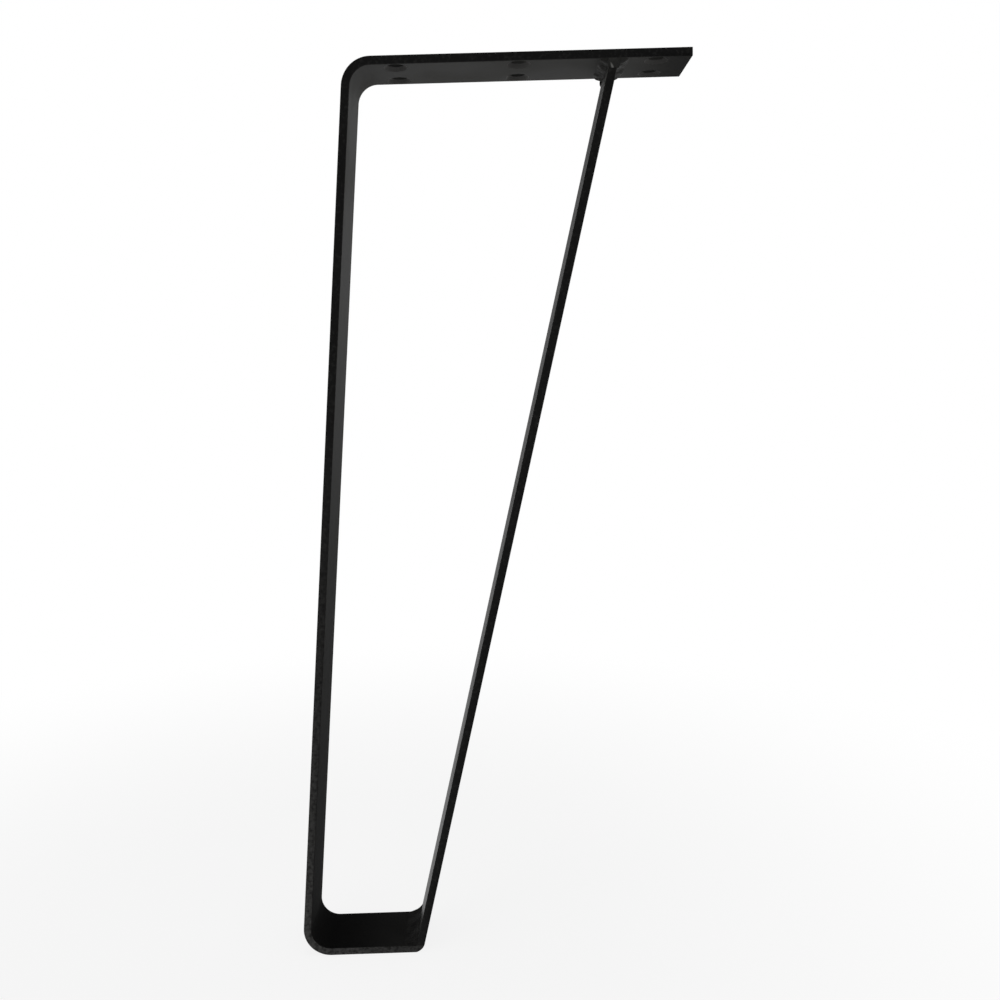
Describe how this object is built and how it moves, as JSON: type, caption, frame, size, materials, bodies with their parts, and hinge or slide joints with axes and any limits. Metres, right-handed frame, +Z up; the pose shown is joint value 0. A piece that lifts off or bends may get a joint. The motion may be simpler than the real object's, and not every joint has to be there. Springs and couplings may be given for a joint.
{
  "type": "table leg",
  "caption": "Welded flat-bar table leg: a bent bar forms arm, leaning upright and foot, and a straight brace closes it. Countersunk holes in the arm take screws into a table top.",
  "frame": {"origin": "on the arm's upper face, at the centre of the four outer screw holes", "axes": "+X along the arm to its free end, +Y across the bar, away from the picture's camera, +Z up, out of the face that goes under the table top"},
  "size_m": [0.3252, 0.0532, 0.7112],
  "materials": {
    "black_coat": "satin black coat over bars and welds alike"
  },
  "bodies": {
    "root": {"bent_bar": "black_coat", "brace_bar": "black_coat", "brace_top_weld": "black_coat", "brace_foot_weld": "black_coat"}
  },
  "joints": []
}
